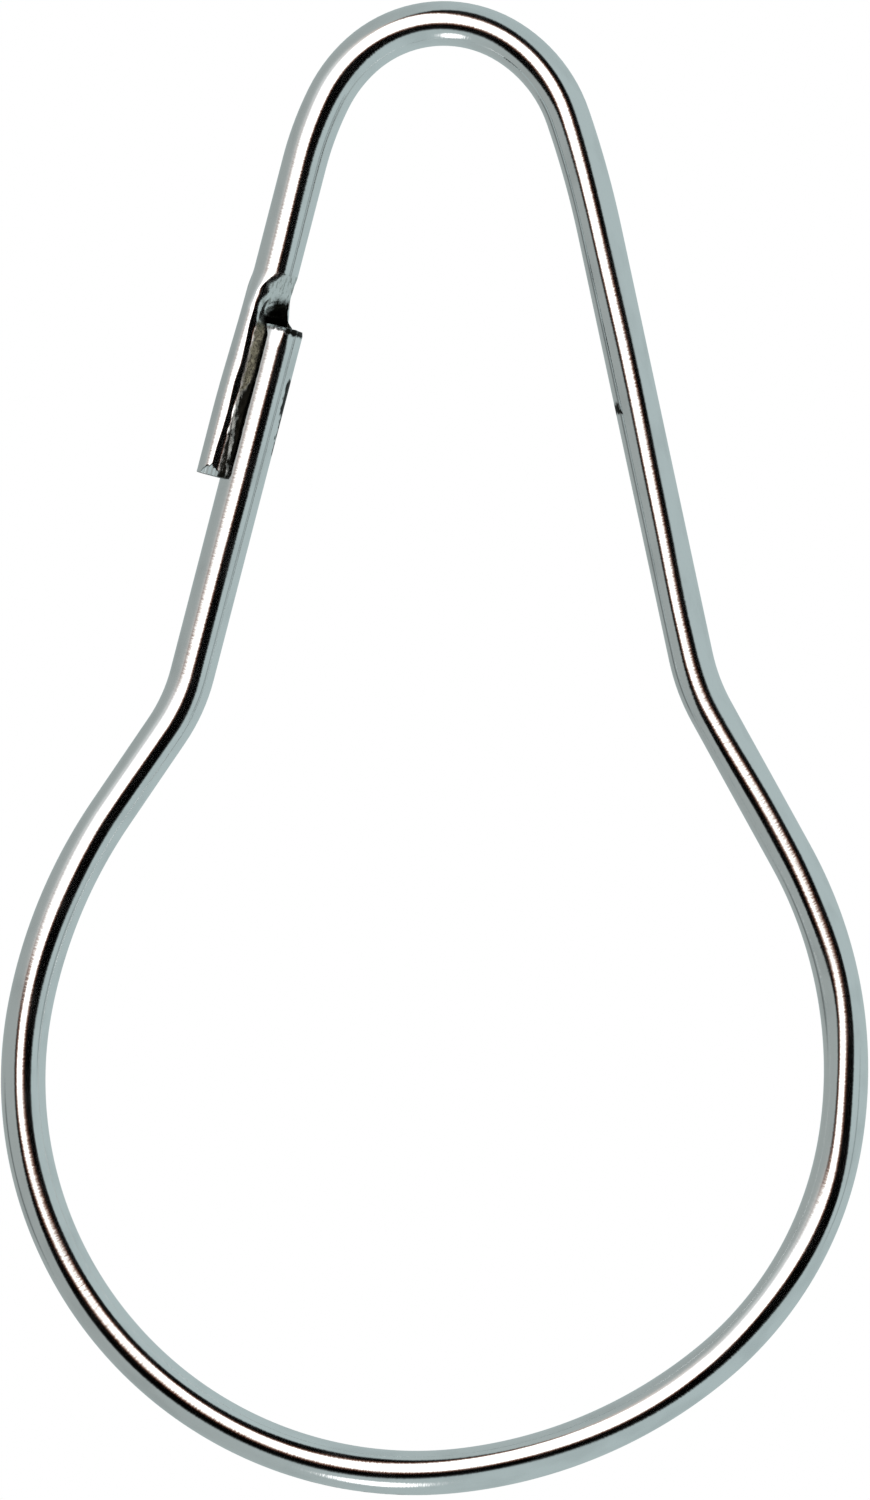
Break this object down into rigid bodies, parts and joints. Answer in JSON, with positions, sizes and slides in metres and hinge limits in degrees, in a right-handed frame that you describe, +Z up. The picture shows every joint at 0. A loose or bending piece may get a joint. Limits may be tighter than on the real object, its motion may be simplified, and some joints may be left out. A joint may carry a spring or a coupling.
{
  "type": "curtain hook",
  "caption": "Pear-shaped sprung ring of round plated wire: narrow crown, leaning arms, wide bulb, and a pressed catch on one arm that the cut end springs into.",
  "frame": {"origin": "inside top of the crown, on the wire's surface, where the ring hangs", "axes": "+Z up towards the crown, +X to the right as the picture shows it, +Y away from the viewer, through the ring"},
  "size_m": [0.0389, 0.0025, 0.067],
  "materials": {
    "plated_wire": "bright plated steel wire, mirror-smooth with faint drawing lines, and fine press marks in the catch"
  },
  "bodies": {
    "root": {"ring_wire": "plated_wire"}
  },
  "joints": []
}
